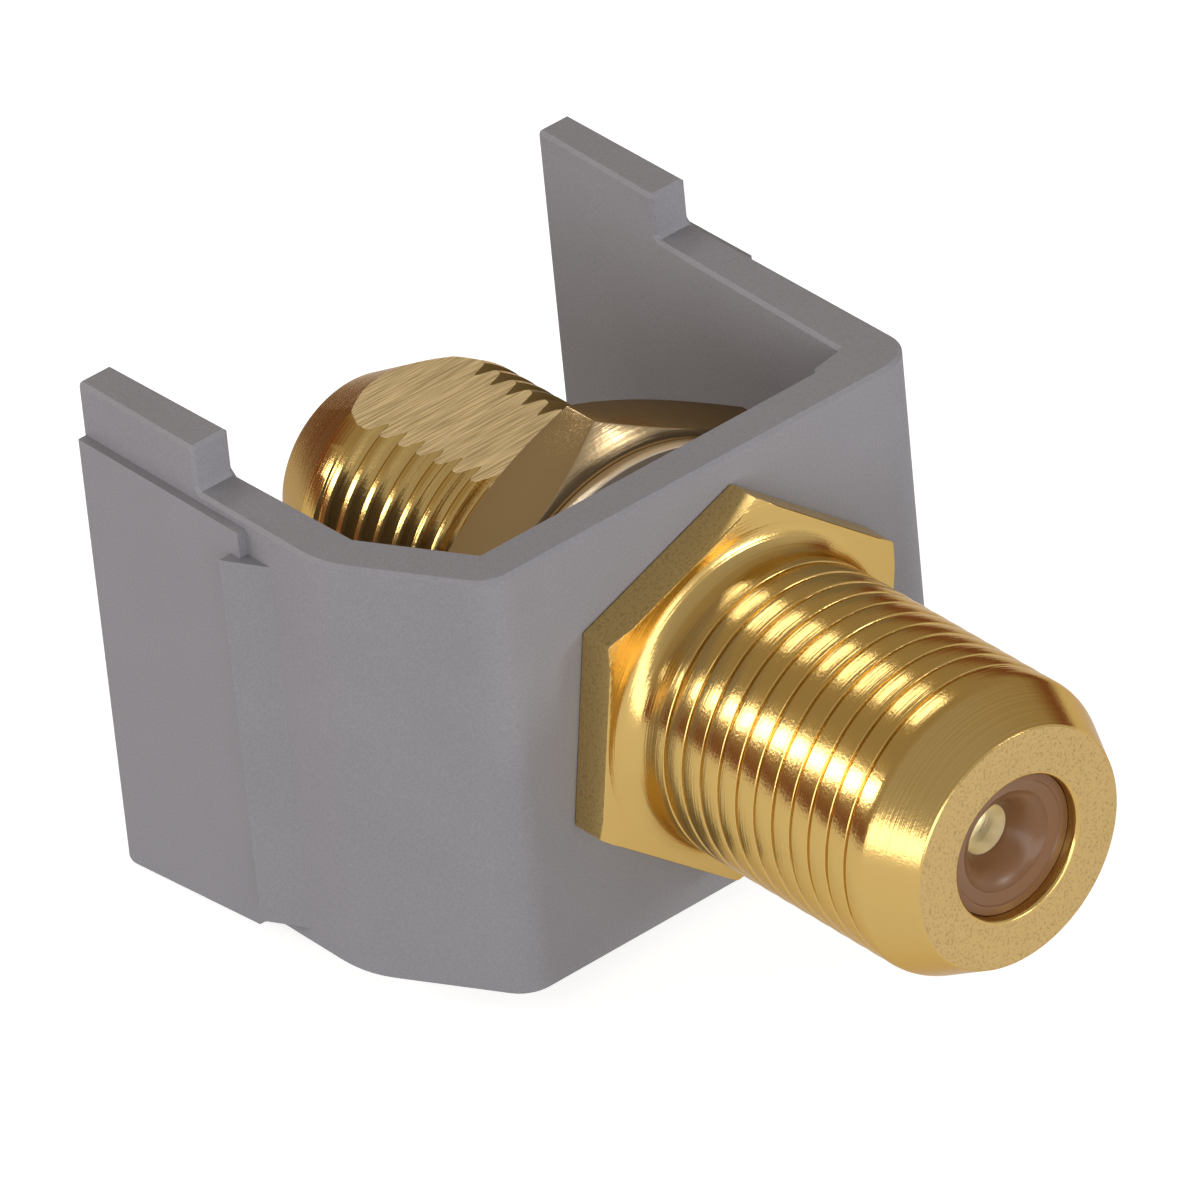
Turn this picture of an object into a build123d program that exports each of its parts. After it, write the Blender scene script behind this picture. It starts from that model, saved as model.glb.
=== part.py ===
from build123d import *
import math
import os

# F coupler in a snap-in bracket, in millimetres.
# The origin is where the coupler's axis meets the bracket's front face.
# X runs to the right seen from the front, Y towards the rear, Z up.
# A hexagon's angle is that of one corner, from +X towards +Z.

# Coupler shell, turned from hexagon bar
thread_radius = 4.75
thread_pitch = 0.794
thread_depth = 0.22
thread_crest = 0.42
thread_runout = 0.65
groove_spacing = 1.0
front_length = 13.16
rear_length = 16.67
front_nose_length = 1.66
front_ring_radius = 3.85
rear_nose_length = 2.57
rear_ring_radius = 3.05
rear_taper_length = 0.7
rear_taper_radius = 4.55
flange_across = 11.11
flange_thickness = 1.35
flange_angle = 80.9
flange_face_radius = 5.95
flange_trim_angle = 20.0
neck_round = 0.6
flat_height_front = 4.47
flat_height_rear = 4.01

# Bore of the shell, with a turned lip in front and a rolled lip behind
mouth_radius = 2.3
lip_thickness = 1.2
chamber_radius = 3.3

# Insulators, one in each end of the shell
face_recess = 0.4
funnel_radius = 1.5
funnel_depth = 1.0
socket_radius = 0.8
socket_length = 1.1
insulator_clearance = 0.02

# Centre contact, a tube slit at both ends
contact_radius = 1.15
contact_bore_radius = 0.5
contact_bore_depth = 8.0
contact_slit = 0.3
contact_slit_length = 5.0
contact_chamfer = 0.25
contact_clearance = 0.02

# Washer and nut that clamp the coupler in the bracket
washer_radius = 6.1
washer_thickness = 0.5
washer_clearance = 0.1
nut_across = 12.7
nut_thickness = 2.55
nut_face_radius = 6.2
nut_trim_angle = 30.0
nut_angle = 93.5
nut_clearance = 0.03
nut_countersink = 0.45

# Bracket walls seen from above; the left side stands further out
right_face = 8.62
left_face = -10.83
front_wall = 1.5
side_wall = 1.6
left_rear_wall = 1.27
right_rear_wall = 1.24
left_rear = 15.55
right_rear = 15.9
slant_start = -8.15
slant_end = 4.6
slant_wall = 1.52
right_corner_round = 1.35
slant_start_round = 1.3
slant_end_round = 3.5
web_width = 1.3
web_step = 0.2
web_rise = 0.2

# Bracket heights above and below the coupler's axis
bracket_top = 7.3
bracket_bottom = -7.45
tab_height = 1.54
left_tab_front = 10.2
right_tab_front = 10.45
foot_front = 9.0
foot_step = 0.27
foot_angle = 6.0
foot_round = 0.4
edge_bevel = 0.12

# Latch pad and catch on the outside of each side wall
pad_proud = 0.3
pad_front = 8.0
pad_inset = 0.15
pad_top = 7.0
catch_proud = 0.77
catch_ridge = 8.4
catch_angle = 28.3
catch_top = 6.1
catch_bottom = -6.85

# Boss behind the front wall, with a hole keyed to the shell's flat
boss_radius = 5.8
boss_height = 1.65
hole_clearance = 0.1

washer_front = front_wall + boss_height
nut_front = washer_front + washer_thickness
nut_rear = nut_front + nut_thickness
tab_top = bracket_top + tab_height
# Where nut and shell engage, both solids stop at the thread's pitch radius
engaged_radius = thread_radius - thread_pitch * math.sqrt(3) * 3 / 16
coupler_middle = (rear_length - front_length) / 2


def tangent(angle):
    """The tangent of an angle in degrees."""
    return math.tan(math.radians(angle))


def turned(outline):
    """A closed outline, radius along X, turned about the coupler's axis."""
    return revolve(make_face(outline), Axis.Y, 360)


def tube(inner, outer, front, rear):
    """A plain ring about the coupler's axis."""
    return turned(Polyline((inner, front), (outer, front), (outer, rear), (inner, rear), close=True))


def rod(radius, front, rear):
    """A plain cylinder about the coupler's axis."""
    return tube(0, radius, front, rear)


def hexagon(across_flats, angle, front, rear):
    """A hexagonal prism about the coupler's axis."""
    section = RegularPolygon(across_flats / 2, 6, major_radius=False, rotation=angle)
    return extrude(Plane.XZ.offset(-rear) * section, rear - front)


def corner_cone(face_radius, trim_angle, face, far):
    """A cone that grows from a hexagon's end face and trims its corners."""
    far_radius = face_radius + abs(far - face) / tangent(trim_angle)
    return turned(Polyline((0, face), (face_radius, face), (far_radius, far), (0, far), close=True))


def block(left, right, front, rear, low, high):
    """A box given by its six faces."""
    size = Box(right - left, rear - front, high - low, align=(Align.MIN, Align.MIN, Align.MIN))
    return Pos(left, front, low) * size


def flat_cut(lift, front, rear):
    """What the milled flat takes off above the barrel, lifted by a clearance."""
    slope = (flat_height_rear - flat_height_front) / rear_length
    side = 2 * thread_radius
    outline = Polyline(
        (front, flat_height_front + slope * front + lift),
        (rear, flat_height_front + slope * rear + lift),
        (rear, side),
        (front, side),
        close=True,
    )
    return extrude(Plane.YZ * make_face(outline), side, both=True)


def neck():
    """The hollow blend from the barrel up to the flange's front face, turned as two cones."""
    centre = (thread_radius + neck_round, -flange_thickness - neck_round)
    waist = neck_round * math.sqrt(0.5)
    return turned(
        Polyline(
            (thread_radius, centre[1]),
            (0, centre[1]),
            (0, -flange_thickness),
            (centre[0], -flange_thickness),
            (centre[0] - waist, centre[1] + waist),
            close=True,
        )
    )


def thread_grooves(front, rear):
    """Ring grooves, a little further apart than the pitch, which stand in for a thread's helix."""
    count = int((rear - front) / groove_spacing)
    first = (front + rear - (count - 1) * groove_spacing) / 2
    half = (thread_pitch - thread_crest) / 2
    side = 2 * thread_radius
    groove = turned(
        Polyline(
            (thread_radius - thread_depth, first),
            (thread_radius, first + half),
            (side, first + half),
            (side, first - half),
            (thread_radius, first - half),
            close=True,
        )
    )
    return [Pos(0, number * groove_spacing, 0) * groove for number in range(count)]


def coupler_shell():
    """Both threaded ends, the hexagon flange between them and the stepped bore."""
    front_land = front_nose_length - front_length
    nose_start = rear_length - rear_nose_length
    rear_land = nose_start - rear_taper_length
    outline = Polyline(
        (0, -front_length),
        (front_ring_radius, -front_length),
        (thread_radius, front_land),
        (thread_radius, rear_land),
        (rear_taper_radius, nose_start),
        (rear_ring_radius, rear_length),
        (0, rear_length),
        close=True,
    )
    barrel = turned(outline) - flat_cut(0, 0, 2 * rear_length)
    barrel -= tube(engaged_radius, 2 * thread_radius, nut_front, nut_rear)
    barrel -= thread_grooves(front_land + thread_runout, -flange_thickness - neck_round)
    barrel -= thread_grooves(nut_rear, rear_land - thread_runout)
    flange = hexagon(flange_across, flange_angle, -flange_thickness, 0)
    flange &= corner_cone(flange_face_radius, flange_trim_angle, -flange_thickness, 0)
    body = barrel + flange + neck()
    chamber = rod(chamber_radius, lip_thickness - front_length, rear_length - lip_thickness)
    mouth = rod(mouth_radius, -front_length, rear_length)
    return body - chamber - mouth


def insulator(face, shoulder):
    """A stepped plastic bush; its face is seen in the mouth, the rest is inside."""
    inward = 1 if shoulder > face else -1
    funnel_end = face + inward * funnel_depth
    seat = funnel_end + inward * socket_length
    spigot = mouth_radius - insulator_clearance
    sleeve = chamber_radius - insulator_clearance
    cavity = contact_radius + contact_clearance
    return turned(
        Polyline(
            (funnel_radius, face),
            (spigot, face),
            (spigot, shoulder),
            (sleeve, shoulder),
            (sleeve, coupler_middle),
            (cavity, coupler_middle),
            (cavity, seat),
            (socket_radius, seat),
            (socket_radius, funnel_end),
            close=True,
        )
    )


def centre_contact():
    """A double-ended socket: a tube slit crosswise at both ends, solid in the middle."""
    front = -front_length + face_recess + funnel_depth + socket_length + contact_clearance
    rear = rear_length - face_recess - funnel_depth - socket_length - contact_clearance
    contact = rod(contact_radius, front, rear)
    contact = chamfer(contact.edges().filter_by(GeomType.CIRCLE), contact_chamfer)
    for end, inward in ((front, 1), (rear, -1)):
        low, high = sorted((end, end + inward * contact_bore_depth))
        contact -= rod(contact_bore_radius, low, high)
        low, high = sorted((end, end + inward * contact_slit_length))
        half = contact_slit / 2
        contact -= block(-half, half, low, high, -contact_radius, contact_radius)
        contact -= block(-contact_radius, contact_radius, low, high, -half, half)
    return contact


def washer():
    """A plain flat washer between the bracket's boss and the nut."""
    return tube(thread_radius + washer_clearance, washer_radius, washer_front, nut_front)


def hex_nut():
    """The thin nut on the rear thread, with the corners trimmed on both faces."""
    blank = hexagon(nut_across, nut_angle, nut_front, nut_rear)
    blank &= corner_cone(nut_face_radius, nut_trim_angle, nut_front, nut_rear)
    blank &= corner_cone(nut_face_radius, nut_trim_angle, nut_rear, nut_front)
    nut = blank - rod(engaged_radius + nut_clearance, nut_front, nut_rear)
    mouths = nut.edges().filter_by(GeomType.CIRCLE).filter_by(lambda edge: edge.radius < thread_radius)
    return chamfer(mouths, nut_countersink)


def slant_inside(x=None, y=None):
    """The point at a given x or y on the inner face of the bracket's slanted wall."""
    run, rise = left_face - slant_start, slant_end
    length = math.hypot(run, rise)
    along = (run / length, rise / length)
    base = (slant_start + along[1] * slant_wall, -along[0] * slant_wall)
    step = (y - base[1]) / along[1] if x is None else (x - base[0]) / along[0]
    return base[0] + step * along[0], base[1] + step * along[1]


def bracket_plan():
    """The bracket's walls seen from above, open to the rear."""
    right_corner = (right_face, 0)
    slant_front = (slant_start, 0)
    slant_back = (left_face, slant_end)
    web_start = right_face - side_wall - web_width
    plan = make_face(
        Polyline(
            (right_face, right_rear),
            right_corner,
            slant_front,
            slant_back,
            (left_face, left_rear),
            (left_face + left_rear_wall, left_rear),
            slant_inside(x=left_face + side_wall),
            slant_inside(y=front_wall),
            (web_start, front_wall),
            (web_start + web_step, front_wall + web_step),
            (right_face - side_wall, front_wall + web_step + web_rise),
            (right_face - right_rear_wall, right_rear),
            close=True,
        )
    )
    for corner, radius in (
        (right_corner, right_corner_round),
        (slant_front, slant_start_round),
        (slant_back, slant_end_round),
    ):
        plan = fillet(plan.vertices().sort_by_distance(Vector(*corner))[0], radius)
    return plan


def foot_bottom(y):
    """How low a side wall reaches behind the front edge of its foot."""
    return bracket_bottom - foot_step - tangent(foot_angle) * (y - foot_front - foot_step)


def side_outline(front, low, rear, *upper):
    """An outline with the lowered foot, from its lower front corner round to the points above."""
    outline = make_face(
        Polyline(
            (front, low),
            (foot_front, bracket_bottom),
            (foot_front + foot_step, bracket_bottom - foot_step),
            (rear, foot_bottom(rear)),
            *upper,
            close=True,
        )
    )
    heel = outline.vertices().sort_by_distance((rear, foot_bottom(rear), 0))[0]
    return fillet(heel, foot_round)


def side_view(tab_front, rear, left, right):
    """One side wall seen from the side, with its raised tab and lowered foot."""
    tab = (rear, tab_top), (tab_front, tab_top), (tab_front, bracket_top), (-front_wall, bracket_top)
    return across(side_outline(-front_wall, bracket_bottom, rear, *tab), left, right)


def across(face, left, right):
    """A face drawn with Y along and Z up, made solid between two x places."""
    return extrude(Plane.YZ.offset(left) * face, right - left)


def latch(face, outward, rear):
    """The thin pad on a side wall and the catch that holds behind the plate."""
    proud = face + outward * pad_proud
    left, right = sorted((face, proud))
    top = (rear, pad_top), (pad_front, pad_top)
    pad = across(side_outline(pad_front, catch_bottom, rear, *top), left, right)
    pad &= block(left, right, pad_front, rear - pad_inset, foot_bottom(rear), pad_top)
    catch_front = catch_ridge - catch_proud / tangent(catch_angle)
    ramp = make_face(
        Polyline(
            (face, catch_front),
            (face + outward * catch_proud, catch_ridge),
            (face, catch_ridge),
            close=True,
        )
    )
    return pad + extrude(Pos(0, 0, catch_bottom) * ramp, catch_top - catch_bottom)


def softened(body):
    """The moulding with small bevels along its upper, rear and lower edges."""

    def near(value, *places):
        return any(abs(value - place) < edge_bevel / 10 for place in places)

    def upright(edge):
        return abs(edge.tangent_at(0.5).Z) > 0.99

    def upper_or_rear(edge):
        middle = edge.center()
        beside_tab = near(middle.Z, (bracket_top + tab_top) / 2)
        behind = near(middle.Y, left_rear, right_rear)
        return near(middle.Z, bracket_top, tab_top) or (upright(edge) and (behind or beside_tab))

    def lower_front(edge):
        return near(edge.center().Z, bracket_bottom) and edge.center().Y < pad_front - edge_bevel

    def foot(edge):
        return edge.center().Z < foot_bottom(foot_front)

    edges = body.edges().filter_by(lambda edge: upper_or_rear(edge) or lower_front(edge) or foot(edge))
    return chamfer(edges, edge_bevel)


def bracket():
    """The moulded bracket with its tabs, feet, latches and keyed hole."""
    low = foot_bottom(max(left_rear, right_rear))
    walls = extrude(Pos(0, 0, low) * bracket_plan(), tab_top - low)
    sides = side_view(left_tab_front, left_rear, left_face, 0)
    sides += side_view(right_tab_front, right_rear, 0, right_face)
    body = walls & sides
    body += latch(left_face, -1, left_rear)
    body += latch(right_face, 1, right_rear)
    body = softened(body) + rod(boss_radius, 0, washer_front)
    key = rod(thread_radius + hole_clearance, 0, washer_front)
    return body - (key - flat_cut(hole_clearance, 0, washer_front))


front_shoulder = lip_thickness - front_length
rear_shoulder = rear_length - lip_thickness
parts = {
    "bracket": bracket(),
    "coupler_shell": coupler_shell(),
    "front_insulator": insulator(face_recess - front_length, front_shoulder),
    "rear_insulator": insulator(rear_length - face_recess, rear_shoulder),
    "centre_contact": centre_contact(),
    "washer": washer(),
    "hex_nut": hex_nut(),
}

os.makedirs("parts", exist_ok=True)
for name, solid in parts.items():
    solid.label = name
    export_step(solid, f"parts/{name}.step")
    print(name, round(solid.volume, 2), "mm3", "valid" if solid.is_valid else "NOT VALID")
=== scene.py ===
import math

import bmesh
import bpy
from mathutils import Matrix, Quaternion, Vector


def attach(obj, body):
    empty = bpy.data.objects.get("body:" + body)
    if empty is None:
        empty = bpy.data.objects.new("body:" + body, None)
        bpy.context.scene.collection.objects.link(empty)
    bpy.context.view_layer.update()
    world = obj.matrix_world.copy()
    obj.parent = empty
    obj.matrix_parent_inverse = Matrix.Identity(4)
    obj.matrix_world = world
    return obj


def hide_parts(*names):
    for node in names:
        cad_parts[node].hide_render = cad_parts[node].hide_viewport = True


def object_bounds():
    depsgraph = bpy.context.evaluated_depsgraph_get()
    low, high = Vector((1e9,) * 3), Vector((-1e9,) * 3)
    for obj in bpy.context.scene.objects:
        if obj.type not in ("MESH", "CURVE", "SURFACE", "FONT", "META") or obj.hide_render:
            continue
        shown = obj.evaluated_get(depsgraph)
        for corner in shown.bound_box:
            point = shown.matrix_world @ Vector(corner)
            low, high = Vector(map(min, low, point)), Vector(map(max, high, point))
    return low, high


mm = 0.001

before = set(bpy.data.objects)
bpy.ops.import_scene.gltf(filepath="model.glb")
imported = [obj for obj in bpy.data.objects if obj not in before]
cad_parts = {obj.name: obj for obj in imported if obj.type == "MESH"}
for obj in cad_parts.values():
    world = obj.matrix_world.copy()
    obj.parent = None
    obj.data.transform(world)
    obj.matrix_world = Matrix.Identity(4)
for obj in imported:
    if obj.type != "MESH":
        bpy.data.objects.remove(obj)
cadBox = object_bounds()
scene = bpy.context.scene
scene.view_settings.view_transform = "Standard"
print("frame loaded")


# Camera, as the photo was taken: a long lens from the front left, above

camera = {
    "azimuth": 37.449,       # degrees round from straight ahead, towards the left
    "elevation": 33.806,
    "roll": -5.766,
    "distance": 450 * mm,
    "focalPixels": 15240.8,  # focal length in pixels of the 1200 pixel frame
    "framePixels": 1200,
    "originPixel": (720.92, 675.25),   # where the part's origin is seen
    "sensorWidth": 36,
    "clip": (0.01, 20),      # the nearest and farthest that is drawn, in metres
}


def towards(azimuth, elevation):
    # a unit vector, with the azimuth from +Y towards +X, both in degrees
    a, e = math.radians(azimuth), math.radians(elevation)
    return Vector((math.sin(a) * math.cos(e), math.cos(a) * math.cos(e), math.sin(e)))


def makeCamera():
    ahead = towards(camera["azimuth"], -camera["elevation"])
    level = towards(camera["azimuth"] + 90, 0)
    upright = level.cross(ahead)
    roll = math.radians(camera["roll"])
    right = level * math.cos(roll) + upright * math.sin(roll)
    up = upright * math.cos(roll) - level * math.sin(roll)
    perPixel = camera["distance"] / camera["focalPixels"]
    half = camera["framePixels"] / 2
    shiftX = (camera["originPixel"][0] - half) * perPixel
    shiftY = (half - camera["originPixel"][1]) * perPixel
    data = bpy.data.cameras.new("photoCamera")
    data.sensor_width = camera["sensorWidth"]
    data.lens = camera["focalPixels"] / camera["framePixels"] * data.sensor_width
    data.clip_start, data.clip_end = camera["clip"]
    obj = bpy.data.objects.new("photoCamera", data)
    turn = Matrix((right, up, -ahead)).transposed()
    place = -(ahead * camera["distance"] + right * shiftX + up * shiftY)
    obj.matrix_world = Matrix.Translation(place) @ turn.to_4x4()
    scene.collection.objects.link(obj)
    scene.camera = obj


makeCamera()
print("camera placed")


# Studio: a white floor, two soft boxes behind the part and two in front

studio = {
    "floorSize": 4.0,
    "floorRear": 0.07,       # the floor ends here behind the part, where the room is dark
    "floorColor": (0.52, 0.52, 0.52),
    "floorGlow": 0.78,       # lifts the floor to white where the lens sees it
    "metalGlow": 0.55,       # and where metal or glass does
    "backdrop": (1.0, 1.0, 1.0),     # the room as the lens itself sees it
    # the room in front of the part and behind it, low and high, as the part sees it
    "frontLow": (0.70, 0.69, 0.70),
    "frontHigh": (0.54, 0.53, 0.54),
    "rearLow": (0.24, 0.085, 0.045),
    "rearHigh": (0.43, 0.365, 0.28),
    # low passes into high while Z of a ray's direction goes from the first to the second
    "frontRise": (0.25, 0.75),
    "rearRise": (0.06, 0.38),
    "depthRise": (-0.35, 0.15),      # and front into rear, by Y of its direction
    # azimuth from +Y towards +X, elevation, width and height as seen from the part, turn, radiance
    "leftBox": (-45, 22.5, 40, 11, 30, 8.5),
    "rearBox": (14, 46, 20, 9, 0, 6.0),
    "frontBox": (-140, 3, 100, 38, 0, 3.05),
    "rightBox": (147, 16, 15, 13, 0, 13.0),
    "boxDistance": 0.6,
}


def softBox(name, azimuth, elevation, width, height, turn, radiance):
    away = towards(azimuth, elevation)
    distance = studio["boxDistance"]
    data = bpy.data.lights.new(name, "AREA")
    data.shape = "RECTANGLE"
    data.size = 2 * distance * math.tan(math.radians(width) / 2)
    data.size_y = 2 * distance * math.tan(math.radians(height) / 2)
    data.energy = radiance * math.pi * data.size * data.size_y
    obj = bpy.data.objects.new(name, data)
    obj.location = away * distance
    obj.rotation_mode = "QUATERNION"
    facing = away.to_track_quat("Z", "Y")
    obj.rotation_quaternion = facing @ Quaternion((0, 0, 1), math.radians(turn))
    scene.collection.objects.link(obj)


def feed(links, value, socket):
    # puts another node's output, a colour or a number into a socket
    if isinstance(value, bpy.types.NodeSocket):
        links.new(value, socket)
    elif isinstance(value, tuple):
        socket.default_value = (*value, 1)
    else:
        socket.default_value = value


def calculate(nodes, links, operation, *values):
    # a math node on numbers and other nodes' outputs
    node = nodes.new("ShaderNodeMath")
    node.operation = operation
    for value, socket in zip(values, node.inputs):
        feed(links, value, socket)
    return node.outputs[0]


def blend(nodes, links, factor, a, b, kind="MIX"):
    # two colours put together, each a colour or another node's output
    mix = nodes.new("ShaderNodeMix")
    mix.data_type = "RGBA"
    mix.blend_type = kind
    for name, value in (("Factor", factor), ("A", a), ("B", b)):
        feed(links, value, mix.inputs[name])
    return mix.outputs["Result"]


def between(nodes, links, value, bounds, results=(0, 1), kind="SMOOTHSTEP"):
    # goes from the first result to the second while the value goes from bound to bound
    share = nodes.new("ShaderNodeMapRange")
    share.interpolation_type = kind
    names = ("From Min", "From Max", "To Min", "To Max")
    for name, number in zip(names, (*bounds, *results)):
        share.inputs[name].default_value = number
    links.new(value, share.inputs["Value"])
    return share.outputs["Result"]


def floorPaper():
    # pale paper that glows where the lens, metal or glass sees it, and casts no light of its own
    mat = bpy.data.materials.new("floorPaper")
    mat.use_nodes = True
    nodes, links = mat.node_tree.nodes, mat.node_tree.links
    nodes.clear()
    path = nodes.new("ShaderNodeLightPath")
    lens = path.outputs["Is Camera Ray"]
    seen = calculate(nodes, links, "MAXIMUM", lens, path.outputs["Is Glossy Ray"])
    seen = calculate(nodes, links, "MAXIMUM", seen, path.outputs["Is Transmission Ray"])
    lift = calculate(nodes, links, "MULTIPLY", seen, studio["metalGlow"])
    lift = calculate(nodes, links, "MULTIPLY_ADD", lens,
                     studio["floorGlow"] - studio["metalGlow"], lift)
    glow = nodes.new("ShaderNodeEmission")
    links.new(lift, glow.inputs["Strength"])
    paper = nodes.new("ShaderNodeBsdfDiffuse")
    feed(links, studio["floorColor"], paper.inputs["Color"])
    both = nodes.new("ShaderNodeAddShader")
    links.new(paper.outputs[0], both.inputs[0])
    links.new(glow.outputs[0], both.inputs[1])
    out = nodes.new("ShaderNodeOutputMaterial")
    links.new(both.outputs[0], out.inputs["Surface"])
    return mat


def makeRoom():
    # the room is pale in front of the part and dark behind it; the lens itself sees white
    world = bpy.data.worlds.new("room")
    world.use_nodes = True
    nodes, links = world.node_tree.nodes, world.node_tree.links
    where = nodes.new("ShaderNodeTexCoord")
    axes = nodes.new("ShaderNodeSeparateXYZ")
    links.new(where.outputs["Generated"], axes.inputs["Vector"])
    sides = []
    for side in ("front", "rear"):
        rise = between(nodes, links, axes.outputs["Z"], studio[side + "Rise"])
        sides.append(blend(nodes, links, rise, studio[side + "Low"], studio[side + "High"]))
    depth = between(nodes, links, axes.outputs["Y"], studio["depthRise"])
    room = blend(nodes, links, depth, *sides)
    lens = nodes.new("ShaderNodeLightPath").outputs["Is Camera Ray"]
    seen = blend(nodes, links, lens, room, studio["backdrop"])
    links.new(seen, nodes["Background"].inputs["Color"])
    scene.world = world


def makeStudio():
    bm = bmesh.new()
    bmesh.ops.create_grid(bm, x_segments=1, y_segments=1, size=studio["floorSize"] / 2)
    middle = studio["floorRear"] - studio["floorSize"] / 2
    bmesh.ops.translate(bm, verts=bm.verts, vec=(0, middle, cadBox[0].z))
    mesh = bpy.data.meshes.new("floor")
    bm.to_mesh(mesh)
    bm.free()
    mesh.materials.append(floorPaper())
    floor = bpy.data.objects.new("floor", mesh)
    scene.collection.objects.link(floor)
    makeRoom()
    for name in ("leftBox", "rearBox", "frontBox", "rightBox"):
        softBox(name, *studio[name])


makeStudio()
print("studio lit")


# Materials

def newMaterial(name, roughness, metallic=0):
    mat = bpy.data.materials.new(name)
    mat.use_nodes = True
    nodes = mat.node_tree.nodes
    shader = nodes["Principled BSDF"]
    shader.inputs["Roughness"].default_value = roughness
    shader.inputs["Metallic"].default_value = metallic
    return mat, nodes, mat.node_tree.links, shader


def noise(nodes, links, place, size, detail):
    made = nodes.new("ShaderNodeTexNoise")
    made.inputs["Scale"].default_value = 1 / size
    made.inputs["Detail"].default_value = detail
    links.new(place, made.inputs["Vector"])
    return made.outputs["Fac"]


def marks(nodes, links, place, size, detail, height, before=None):
    # noise of a given size as a bump, on top of an earlier one; returns the bump and the noise
    made = noise(nodes, links, place, size, detail)
    bump = nodes.new("ShaderNodeBump")
    bump.inputs["Distance"].default_value = height
    links.new(made, bump.inputs["Height"])
    if before:
        links.new(before, bump.inputs["Normal"])
    return bump.outputs["Normal"], made


def partPlace(nodes):
    # coordinates in the part's own frame, in metres
    return nodes.new("ShaderNodeTexCoord").outputs["Object"]


plastic = {
    "color": (0.222, 0.217, 0.236),
    "roughness": 0.6,
    "mottle": 0.03,              # the share by which the colour goes up and down in clouds
    "mottleSize": mm / 0.35,
    "mottleDetail": 4,
    "grain": (0.07 * mm, 2, 0.008 * mm),     # size, detail and height
    "grainTint": 0.10,
    "noiseRange": (0.25, 0.75),  # where nearly all values of a noise lie
}


def tinted(nodes, links, value, amount, color):
    # a colour made lighter and darker by a noise, by up to the given share
    results = (1 - amount, 1 + amount)
    tint = between(nodes, links, value, plastic["noiseRange"], results, "LINEAR")
    return blend(nodes, links, 1, color, tint, "MULTIPLY")


def greyPlastic():
    mat, nodes, links, shader = newMaterial("greyPlastic", plastic["roughness"])
    place = partPlace(nodes)
    cloud = noise(nodes, links, place, plastic["mottleSize"], plastic["mottleDetail"])
    normal, grain = marks(nodes, links, place, *plastic["grain"])
    color = tinted(nodes, links, cloud, plastic["mottle"], plastic["color"])
    color = tinted(nodes, links, grain, plastic["grainTint"], color)
    links.new(color, shader.inputs["Base Color"])
    links.new(normal, shader.inputs["Normal"])
    return mat


gold = {
    # roughness, colour, and the tint of what is seen at a flat angle
    "brightGold": (0.18, (0.60, 0.41, 0.14), (0.76, 0.63, 0.47)),
    "shadedTailGold": (0.26, (0.44, 0.31, 0.13), (0.76, 0.63, 0.47)),
    # the rear nose: the barrel's gold made rougher and painted darker, as painted shade
    "nutGold": (0.24, (0.42, 0.31, 0.17), (0.76, 0.63, 0.47)),
    "washerGold": (0.36, (0.95, 0.82, 0.62), (1, 1, 0.95)),
    # the contact: a gold lightened past its own colour, painted light for the dark hole
    "lightenedContactGold": (0.4, (1, 0.93, 0.74), (1, 0.9, 0.7)),
    # roughness and colour of the dull faces with small dark specks
    "dullGold": (0.36, (0.74, 0.53, 0.20)),
    "endGold": (0.34, (0.58, 0.405, 0.165)),
    "flatRoughness": 0.42,
    # size, detail and height of the marks in the surface
    "waves": (0.55 * mm, 2, 0.004 * mm),     # the plating's faint unevenness
    "pits": (0.10 * mm, 2, 0.004 * mm),      # small pits that catch the light
    "turning": (0.09 * mm, 3, 0.012 * mm),   # tool marks, which run round the turned faces
    "specks": (0.09 * mm, 4, 0.003 * mm),
    "cuts": (0.06 * mm, 5, 0.004 * mm),      # cutter marks across the milled flat
    "cutLength": 25,                         # in sizes of a mark
    # noise values where the darker colour ends and the lighter one begins
    "speckRamp": (0.32, 0.50),
    "speckShade": 0.72,      # a speck's share of the colour round it
    "cutRamp": (0.36, 0.62),
    "cutColors": ((0.46, 0.35, 0.18), (0.83, 0.67, 0.385)),
}


def turnedPlace(nodes, links, place):
    # distance from the axis and place along it, so that marks run round the part
    flat = nodes.new("ShaderNodeVectorMath")
    flat.operation = "MULTIPLY"
    flat.inputs[1].default_value = (1, 0, 1)
    radius = nodes.new("ShaderNodeVectorMath")
    radius.operation = "LENGTH"
    axes = nodes.new("ShaderNodeSeparateXYZ")
    pair = nodes.new("ShaderNodeCombineXYZ")
    links.new(place, flat.inputs[0])
    links.new(flat.outputs[0], radius.inputs[0])
    links.new(place, axes.inputs[0])
    links.new(radius.outputs["Value"], pair.inputs["X"])
    links.new(axes.outputs["Y"], pair.inputs["Y"])
    return pair.outputs[0]


def twoTones(nodes, links, value, positions, colors):
    # a colour that passes from one tone to the other with a noise
    ramp = nodes.new("ShaderNodeValToRGB")
    for element, position, color in zip(ramp.color_ramp.elements, positions, colors):
        element.position = position
        element.color = (*color, 1)
    links.new(value, ramp.inputs["Fac"])
    return ramp.outputs["Color"]


def goldPlate(name):
    # plated and turned metal
    roughness, color, edgeTint = gold[name]
    mat, nodes, links, shader = newMaterial(name, roughness, 1)
    feed(links, color, shader.inputs["Base Color"])
    feed(links, edgeTint, shader.inputs["Specular Tint"])
    place = partPlace(nodes)
    turned = turnedPlace(nodes, links, place)
    normal = None
    for kind, where in (("waves", place), ("pits", place), ("turning", turned)):
        normal = marks(nodes, links, where, *gold[kind], before=normal)[0]
    links.new(normal, shader.inputs["Normal"])
    return mat


def speckledGold(name):
    # the end faces and the flange's sides: dull, with small dark specks
    roughness, color = gold[name]
    mat, nodes, links, shader = newMaterial(name, roughness, 1)
    normal, cloud = marks(nodes, links, partPlace(nodes), *gold["specks"])
    dark = tuple(part * gold["speckShade"] for part in color)
    tone = twoTones(nodes, links, cloud, gold["speckRamp"], (dark, color))
    links.new(tone, shader.inputs["Base Color"])
    links.new(normal, shader.inputs["Normal"])
    return mat


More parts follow.
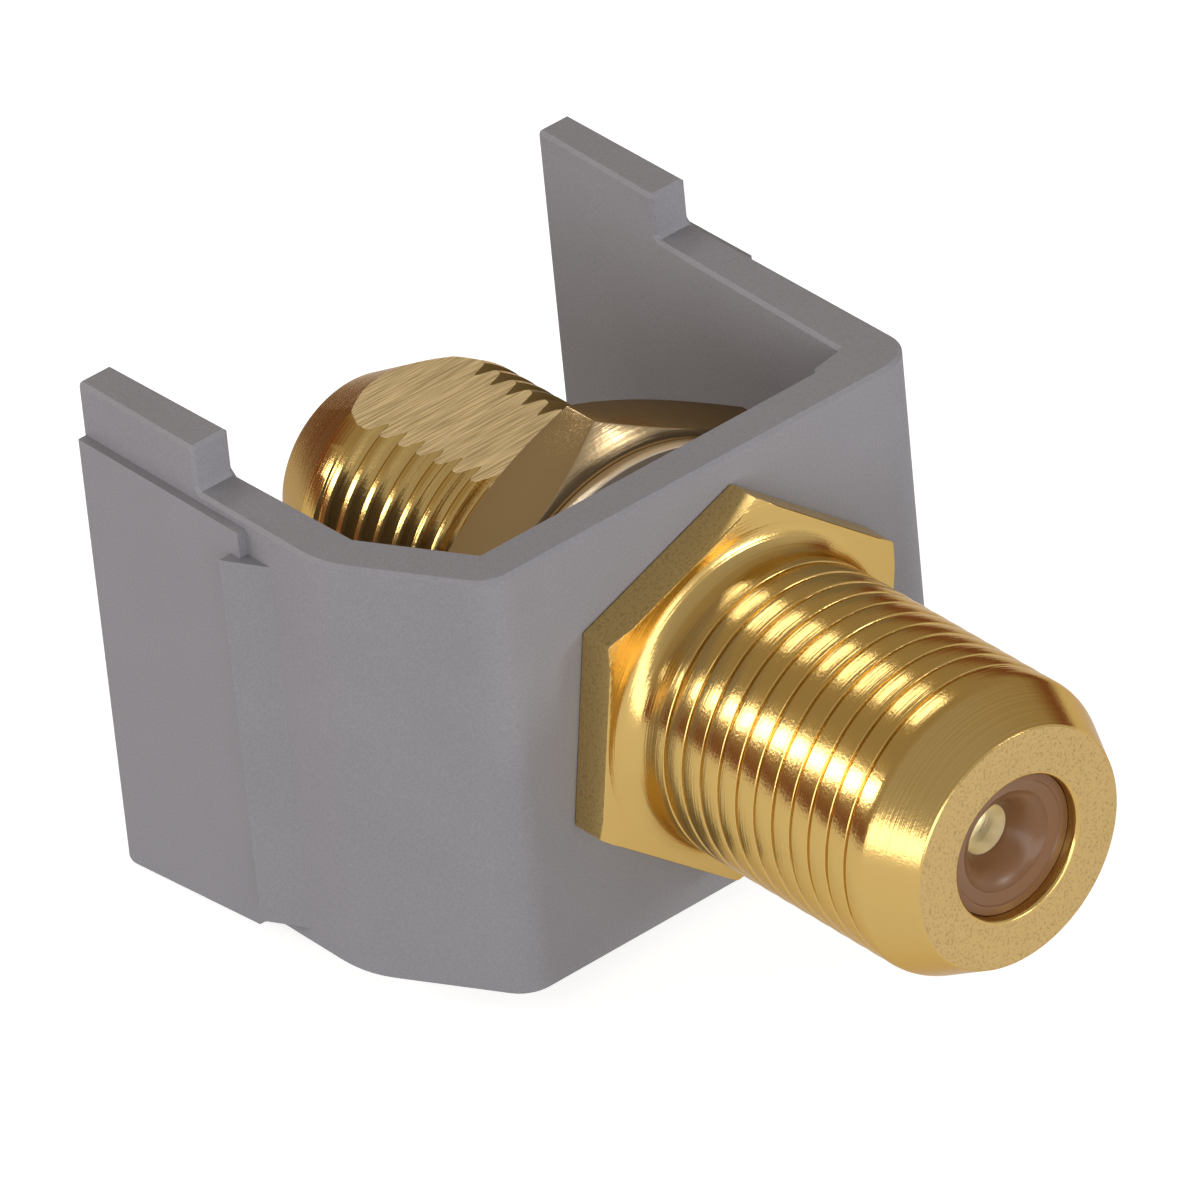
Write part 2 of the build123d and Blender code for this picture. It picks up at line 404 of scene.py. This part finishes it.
def milledGold():
    # the flat: matt, with the cutter's parallel scratches across it
    mat, nodes, links, shader = newMaterial("milledGold", gold["flatRoughness"], 1)
    squeeze = nodes.new("ShaderNodeMapping")
    squeeze.inputs["Scale"].default_value = (1 / gold["cutLength"], 1, 1)
    links.new(partPlace(nodes), squeeze.inputs["Vector"])
    normal, streak = marks(nodes, links, squeeze.outputs[0], *gold["cuts"])
    tone = twoTones(nodes, links, streak, gold["cutRamp"], gold["cutColors"])
    links.new(tone, shader.inputs["Base Color"])
    links.new(normal, shader.inputs["Normal"])
    return mat


insulatorPlastic = {
    "color": (0.185, 0.088, 0.036),
    "roughness": 0.30,
    "specular": 0.35,
    "subsurface": 0.3,
    "subsurfaceRadius": (0.6, 0.4, 0.3),     # red, green and blue, in parts of its scale
    "subsurfaceScale": 0.5 * mm,
}


def brownPlastic():
    mat, nodes, links, shader = newMaterial("insulatorPlastic", insulatorPlastic["roughness"])
    feed(links, insulatorPlastic["color"], shader.inputs["Base Color"])
    shader.inputs["Specular IOR Level"].default_value = insulatorPlastic["specular"]
    shader.inputs["Subsurface Weight"].default_value = insulatorPlastic["subsurface"]
    shader.inputs["Subsurface Radius"].default_value = insulatorPlastic["subsurfaceRadius"]
    shader.inputs["Subsurface Scale"].default_value = insulatorPlastic["subsurfaceScale"]
    return mat


def dress(name, material):
    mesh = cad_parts[name].data
    mesh.materials.clear()
    mesh.materials.append(material)


brightGold = goldPlate("brightGold")
# painted shade: a darker gold for the rear nose
shadedTailGold = goldPlate("shadedTailGold")
nutGold = goldPlate("nutGold")
washerGold = goldPlate("washerGold")
# painted light: the contact's gold is lightened so that it shows in the dark hole
lightenedContactGold = goldPlate("lightenedContactGold")
dullGold = speckledGold("dullGold")
endGold = speckledGold("endGold")
flatGold = milledGold()
insulatorMaterial = brownPlastic()
dress("bracket", greyPlastic())
dress("centre_contact", lightenedContactGold)
print("cad pieces dressed")


# Shapes turned about the barrel's axis, which is Y, and hexagons along it

making = {
    "mergeDistance": 0.0005 * mm,    # points nearer to each other than this become one
    "smoothAngle": 30,       # edges that turn by more than this many degrees look sharp
    "barSmoothAngle": 25,    # the same for hexagons with broken edges
    "bevelAngle": 15,        # edges that turn by more than this are broken
    "bevelSegments": 2,
}


def addProfile(bm, points):
    # an open line of (radius, y) points, drawn beside the axis
    verts = [bm.verts.new((radius, y, 0)) for radius, y in points]
    edges = [bm.edges.new(pair) for pair in zip(verts, verts[1:])]
    return verts + edges


def turnProfile(bm, points, steps=96):
    # a closed outline of (radius, y) points, turned once round the axis
    line = addProfile(bm, list(points) + [points[0]])
    bmesh.ops.spin(bm, geom=line, cent=(0, 0, 0), axis=(0, 1, 0), angle=2 * math.pi,
                   steps=steps, use_merge=True)
    tidyMesh(bm)


def mergePoints(bm):
    bmesh.ops.remove_doubles(bm, verts=bm.verts, dist=making["mergeDistance"])


def tidyMesh(bm):
    mergePoints(bm)
    bmesh.ops.recalc_face_normals(bm, faces=bm.faces)


def roundedCorner(centre, radius, start, end, points=7):
    # points of an arc in the (radius, y) plane, angles in degrees
    step = (end - start) / (points - 1)
    angles = [math.radians(start + i * step) for i in range(points)]
    return [(centre[0] + radius * math.cos(a), centre[1] + radius * math.sin(a)) for a in angles]


def shade(mesh, smoothAngle):
    mesh.polygons.foreach_set("use_smooth", [True] * len(mesh.polygons))
    mesh.set_sharp_from_angle(angle=math.radians(smoothAngle))


def newPiece(name, material, build, smoothAngle=making["smoothAngle"]):
    # an object whose mesh the given function draws
    bm = bmesh.new()
    build(bm)
    mesh = bpy.data.meshes.new(name)
    bm.to_mesh(mesh)
    bm.free()
    mesh.materials.append(material)
    shade(mesh, smoothAngle)
    obj = bpy.data.objects.new(name, mesh)
    scene.collection.objects.link(obj)
    return obj


def settle(obj, node):
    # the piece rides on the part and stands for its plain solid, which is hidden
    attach(obj, "root")
    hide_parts(node)


def baked(obj, cutters=()):
    # the object's modifiers applied to its mesh; the cutters are removed afterwards
    bpy.context.view_layer.update()
    shaped = obj.evaluated_get(bpy.context.evaluated_depsgraph_get())
    mesh = bpy.data.meshes.new_from_object(shaped)
    obj.modifiers.clear()
    obj.data = mesh
    for cutter in cutters:
        bpy.data.objects.remove(cutter)


def hexagonBar(bm, across, angle, front, rear):
    # a hexagonal bar along Y; the angle is that of a corner, from +X towards +Z
    radius = across / 2 / math.cos(math.pi / 6)
    verts = bmesh.ops.create_cone(bm, cap_ends=True, segments=6, radius1=radius, radius2=radius,
                                  depth=rear - front)["verts"]
    corner = max(verts, key=lambda v: v.co.x)
    start = math.atan2(corner.co.y, corner.co.x)
    for turn, axis in ((-start, "Z"), (math.radians(90), "X"), (math.radians(-angle), "Y")):
        bmesh.ops.rotate(bm, verts=verts, cent=(0, 0, 0), matrix=Matrix.Rotation(turn, 3, axis))
    bmesh.ops.translate(bm, verts=verts, vec=(0, (front + rear) / 2, 0))


def combine(obj, other, operation):
    modifier = obj.modifiers.new(operation.lower(), "BOOLEAN")
    modifier.operation = operation
    modifier.solver = "EXACT"
    modifier.object = other


def breakEdges(bar, width):
    bevel = bar.modifiers.new("edges", "BEVEL")
    bevel.width = width
    bevel.segments = making["bevelSegments"]
    bevel.limit_method = "ANGLE"
    bevel.angle_limit = math.radians(making["bevelAngle"])


# Coupler shell: both threaded barrels with their mouths, in place of the plain solid

shell = {
    "crest": 4.75 * mm,
    "pitch": 0.794 * mm,
    # a groove's depth and half width, and how far the rounded crest falls towards it
    "frontGroove": (0.12 * mm, 0.075 * mm, 0.03 * mm),
    "rearGroove": (0.24 * mm, 0.31 * mm, 0.05 * mm),
    "crestPoints": (0, 0.35, 0.7, 0.9, 1),   # where the outline has points, from crest to groove
    "sidePoints": (0.25, 0.5, 0.75),         # and down the groove's side
    "stepsPerTurn": 120,
    "fade": 0.3 * mm,        # over this length a thread runs out
    "frontThread": (-11.3 * mm, -2.2 * mm),
    "frontLand": -11.5 * mm,
    "landRound": 0.2 * mm,   # from the land's corner to where its rounding starts
    "frontEnd": -13.16 * mm,
    "frontRing": 3.85 * mm,
    "frontRim": 0.15 * mm,   # radius of the mouth's rounded rim
    "rearThread": (2.6 * mm, 13.35 * mm),
    "rearTaper": (4.55 * mm, 14.1 * mm),
    "rearEnd": 16.67 * mm,
    "rearRing": 3.05 * mm,
    "rearRim": 0.12 * mm,
    "mouth": 2.3 * mm,
    "lip": 1.2 * mm,
    "chamber": 3.3 * mm,
    "neck": (0.74 * mm, 0.84 * mm),    # the hollow beside the flange, outwards and along
    # the end face's broken edge: along the axis, out from the face's ring and in from it
    "edge": (0.045 * mm, 0.036 * mm, 0.018 * mm),
    "flatFront": 4.47 * mm,  # the milled flat's height at the flange and at the rear end
    "flatRear": 4.01 * mm,
    "smoothAngle": 18,
}

flange = {
    "across": 11.11 * mm,
    "front": -1.35 * mm,
    "rear": 0,
    "angle": 80.9,
    "faceRadius": 5.95 * mm,
    "trimAngle": 20,
    "trimMargin": 0.3 * mm,  # the trimming cone reaches this far past both faces
    "edge": 0.07 * mm,
}


def grooveRadius(share, depth, half, crown):
    # the surface's distance from the axis, at a share of the way from crest to crest
    away = abs(share - 0.5) * shell["pitch"]
    hollow = depth * (1 + math.cos(math.pi * min(1, away / half))) / 2
    fall = crown * (1 - away / (shell["pitch"] / 2)) ** 2
    return shell["crest"] - hollow - fall


def edgesIn(geometry):
    return [item for item in geometry if isinstance(item, bmesh.types.BMEdge)]


def cutAway(bm, place, normal):
    # takes off what lies beyond a plane; returns the edges of the cut
    cut = bmesh.ops.bisect_plane(bm, geom=bm.verts[:] + bm.edges[:] + bm.faces[:], dist=0,
                                 plane_co=place, plane_no=normal, clear_outer=True)
    return edgesIn(cut["geom_cut"])


def threadSleeve(bm, low, high, depth, half, crown):
    # a screw thread from low to high, open at both ends; returns its two end loops
    pitch, steps, fade = shell["pitch"], shell["stepsPerTurn"], shell["fade"]
    lip = 0.5 - half / pitch
    shares = [lip * point for point in shell["crestPoints"]]
    shares += [lip + (0.5 - lip) * point for point in shell["sidePoints"]]
    shares += [0.5] + [1 - share for share in reversed(shares[1:])]
    # more than a turn to spare at both ends, cut off below
    turns = math.ceil((high - low) / pitch) + 2
    start = low - 1.5 * pitch
    outline = [(grooveRadius(share, depth, half, crown), start + (turn + share) * pitch)
               for turn in range(turns) for share in shares]
    outline.append((grooveRadius(0, depth, half, crown), start + turns * pitch))
    bmesh.ops.spin(bm, geom=addProfile(bm, outline), cent=(0, 0, 0), axis=(0, 1, 0),
                   dvec=(0, pitch / steps, 0), angle=2 * math.pi, steps=steps)
    mergePoints(bm)
    for v in bm.verts:
        # the thread runs out smoothly towards its ends
        radius = math.hypot(v.co.x, v.co.z)
        share = max(0, min(1, (v.co.y - low) / fade, (high - v.co.y) / fade))
        wanted = shell["crest"] - (shell["crest"] - radius) * share * share * (3 - 2 * share)
        v.co.x *= wanted / radius
        v.co.z *= wanted / radius
    return [cutAway(bm, (0, y, 0), (0, side, 0)) for y, side in ((low, -1), (high, 1))]


def growRing(bm, edges, radius, y):
    # carries an end loop on to a new radius and place along the axis
    made = bmesh.ops.extrude_edge_only(bm, edges=edges)["geom"]
    verts = [item for item in made if isinstance(item, bmesh.types.BMVert)]
    now = sum(math.hypot(v.co.x, v.co.z) for v in verts) / len(verts)
    bmesh.ops.scale(bm, verts=verts, vec=(radius / now, 1, radius / now))
    bmesh.ops.translate(bm, verts=verts, vec=(0, y - verts[0].co.y, 0))
    return [edge for edge in edgesIn(made) if all(v in verts for v in edge.verts)]


def growAlong(bm, edges, points):
    for radius, y in points:
        edges = growRing(bm, edges, radius, y)
    return edges


def mouthPoints(ring, end, inward, rim):
    # the end face with its broken edges, the mouth's wall and the lip behind it
    along, out, back = shell["edge"]
    mouth, lip = shell["mouth"], end + inward * shell["lip"]
    corner = (mouth + rim, end + inward * rim)
    turn = (270, 180) if inward > 0 else (90, 180)
    return ([(ring + out, end + inward * along), (ring - back, end)]
            + roundedCorner(corner, rim, *turn) + [(mouth, lip), (shell["chamber"], lip)])


def frontBarrel(bm):
    low, high = threadSleeve(bm, *shell["frontThread"], *shell["frontGroove"])
    crest, face, (wide, long) = shell["crest"], flange["front"], shell["neck"]
    neck = [(crest + wide + x * wide, face - long + y * long)
            for x, y in roundedCorner((0, 0), 1, 180, 90, points=11)]
    # this barrel and the rear one end inside the flange
    root = growAlong(bm, high, neck + [(crest + wide, face / 2), (shell["chamber"], face / 2)])
    land, end, ring = shell["frontLand"], shell["frontEnd"], shell["frontRing"]
    slope = math.atan2(crest - ring, land - end)
    bend = shell["landRound"] / math.tan(slope / 2)
    centre = (crest - bend, land + shell["landRound"])
    shoulder = roundedCorner(centre, bend, 0, -math.degrees(slope))
    tip = growAlong(bm, low, shoulder + mouthPoints(ring, end, 1, shell["frontRim"]))
    bmesh.ops.bridge_loops(bm, edges=tip + root)
    tidyMesh(bm)


def rearBarrel(bm):
    low, high = threadSleeve(bm, *shell["rearThread"], *shell["rearGroove"])
    crest, face, end = shell["crest"], flange["front"], shell["rearEnd"]
    root = growAlong(bm, low, [(crest, 0), (crest, face / 2), (shell["chamber"], face / 2)])
    mouth = mouthPoints(shell["rearRing"], end, -1, shell["rearRim"])
    tip = growAlong(bm, high, [shell["rearTaper"]] + mouth)
    bmesh.ops.bridge_loops(bm, edges=tip + root)
    slope = (shell["flatRear"] - shell["flatFront"]) / end
    edges = cutAway(bm, (0, 0, shell["flatFront"]), (0, -slope, 1))
    bmesh.ops.triangle_fill(bm, edges=edges, use_beauty=True)
    tidyMesh(bm)


def finishAndShadeFaces(obj, end):
    # the dull end face and the milled flat have their own finish; the nose behind the rear thread
    # gets a rougher copy of the gold painted darker, as painted shade
    for material in (endGold, flatGold, shadedTailGold):
        obj.data.materials.append(material)
    near, upright = 0.01 * mm, 0.999
    for face in obj.data.polygons:
        if abs(face.center.y - end) < near:
            face.material_index = 1
        elif face.normal.z > upright and face.center.y > 0:
            face.material_index = 2
        # faces behind the rear taper take the darker gold: painted shade
        elif face.center.y > shell["rearTaper"][1]:
            face.material_index = 3


def dullFacets(obj):
    # the hexagon's sides keep the bar's dull surface
    obj.data.materials.append(dullGold)
    sideways = 0.1
    for face in obj.data.polygons:
        if abs(face.normal.y) < sideways:
            face.material_index = 1


def makeShell():
    for name, build, end in (("frontBarrel", frontBarrel, shell["frontEnd"]),
                             ("rearBarrel", rearBarrel, shell["rearEnd"])):
        obj = newPiece(name, brightGold, build, shell["smoothAngle"])
        finishAndShadeFaces(obj, end)
        settle(obj, "coupler_shell")


def makeFlange():
    front, rear, margin = flange["front"], flange["rear"], flange["trimMargin"]
    bar = newPiece("hexFlange", brightGold, lambda bm: hexagonBar(
        bm, flange["across"], flange["angle"], front, rear))
    breakEdges(bar, flange["edge"])
    slope = math.tan(math.radians(flange["trimAngle"]))
    low, high = front - margin, rear + margin
    side = [(flange["faceRadius"] + (y - front) / slope, y) for y in (low, high)]
    trim = newPiece("trim", brightGold, lambda bm: turnProfile(bm, [(0, low), *side, (0, high)]))
    combine(bar, trim, "INTERSECT")
    baked(bar, [trim])
    shade(bar.data, making["barSmoothAngle"])
    dullFacets(bar)
    settle(bar, "coupler_shell")


makeShell()
makeFlange()
print("coupler shell made")


# Nut and washer behind the bracket

nut = {
    "across": 12.7 * mm,
    "angle": 93.5,
    "front": 3.65 * mm,
    "rear": 6.2 * mm,
    "faceRadius": 6.2 * mm,
    "trimAngle": 30,
    "bore": 4.52 * mm,
    "countersink": 0.45 * mm,
    "edge": 0.05 * mm,
}

washer = {
    "inner": 4.85 * mm,
    "outer": 6.1 * mm,
    "front": 3.15 * mm,
    "rear": 3.65 * mm,
    "edge": 0.07 * mm,
    "steps": 128,
}


def makeNut():
    front, rear, face = nut["front"], nut["rear"], nut["faceRadius"]
    bore, sink = nut["bore"], nut["countersink"]
    bar = newPiece("hexNut", nutGold, lambda bm: hexagonBar(
        bm, nut["across"], nut["angle"], front, rear))
    # a ring whose outside trims the corners from both faces, and whose inside is the bore
    wide = face + (rear - front) / 2 / math.tan(math.radians(nut["trimAngle"]))
    outline = [(bore + sink, front), (face, front), (wide, (front + rear) / 2), (face, rear),
               (bore + sink, rear), (bore, rear - sink), (bore, front + sink)]
    ring = newPiece("ring", nutGold, lambda bm: turnProfile(bm, outline))
    combine(bar, ring, "INTERSECT")
    baked(bar, [ring])
    breakEdges(bar, nut["edge"])
    baked(bar)
    shade(bar.data, making["barSmoothAngle"])
    settle(bar, "hex_nut")


def makeWasher():
    edge, inner, outer = washer["edge"], washer["inner"], washer["outer"]
    front, rear = washer["front"], washer["rear"]
    low = roundedCorner((outer - edge, front + edge), edge, 270, 360, points=4)
    high = roundedCorner((outer - edge, rear - edge), edge, 0, 90, points=4)
    outline = [(inner, front), *low, *high, (inner, rear)]
    obj = newPiece("flatWasher", washerGold, lambda bm: turnProfile(bm, outline, washer["steps"]))
    settle(obj, "washer")


makeNut()
makeWasher()
print("nut and washer made")


# Insulators: a plastic bush with stepped rings round the contact's hole

insulator = {
    "faceRecess": 0.4 * mm,
    # radius and depth in mm: a flat rim, a shallow dish with one faint ring, and the hole's funnel
    "dish": ((2.28, 0), (2.02, 0), (1.98, 0.05), (1.8, 0.09), (1.62, 0.14), (1.6, 0.17),
             (1.4, 0.28), (1.22, 0.42), (1.08, 0.6), (0.96, 0.8), (0.86, 0.97), (0.8, 1.06)),
    "holeDepth": 2.1 * mm,
    "depth": 3.0 * mm,
    "smoothAngle": 35,
}


def makeInsulator(name, node, end, inward):
    recess = end + inward * insulator["faceRecess"]
    deep, back = (recess + inward * insulator[key] for key in ("holeDepth", "depth"))
    dish = [(radius * mm, recess + inward * depth * mm) for radius, depth in insulator["dish"]]
    hole, outer = dish[-1][0], dish[0][0]
    outline = dish + [(hole, deep), (hole, back), (outer, back)]
    obj = newPiece(name, insulatorMaterial, lambda bm: turnProfile(bm, outline),
                   insulator["smoothAngle"])
    # the hole's wall shows the contact's metal, whose colour is lightened past the gold's own as
    # painted light
    obj.data.materials.append(lightenedContactGold)
    slack = 1.01
    for face in obj.data.polygons:
        if math.hypot(face.center.x, face.center.z) < hole * slack:
            face.material_index = 1
    settle(obj, node)


makeInsulator("frontInsulator", "front_insulator", shell["frontEnd"], 1)
makeInsulator("rearInsulator", "rear_insulator", shell["rearEnd"], -1)
print("insulators made")
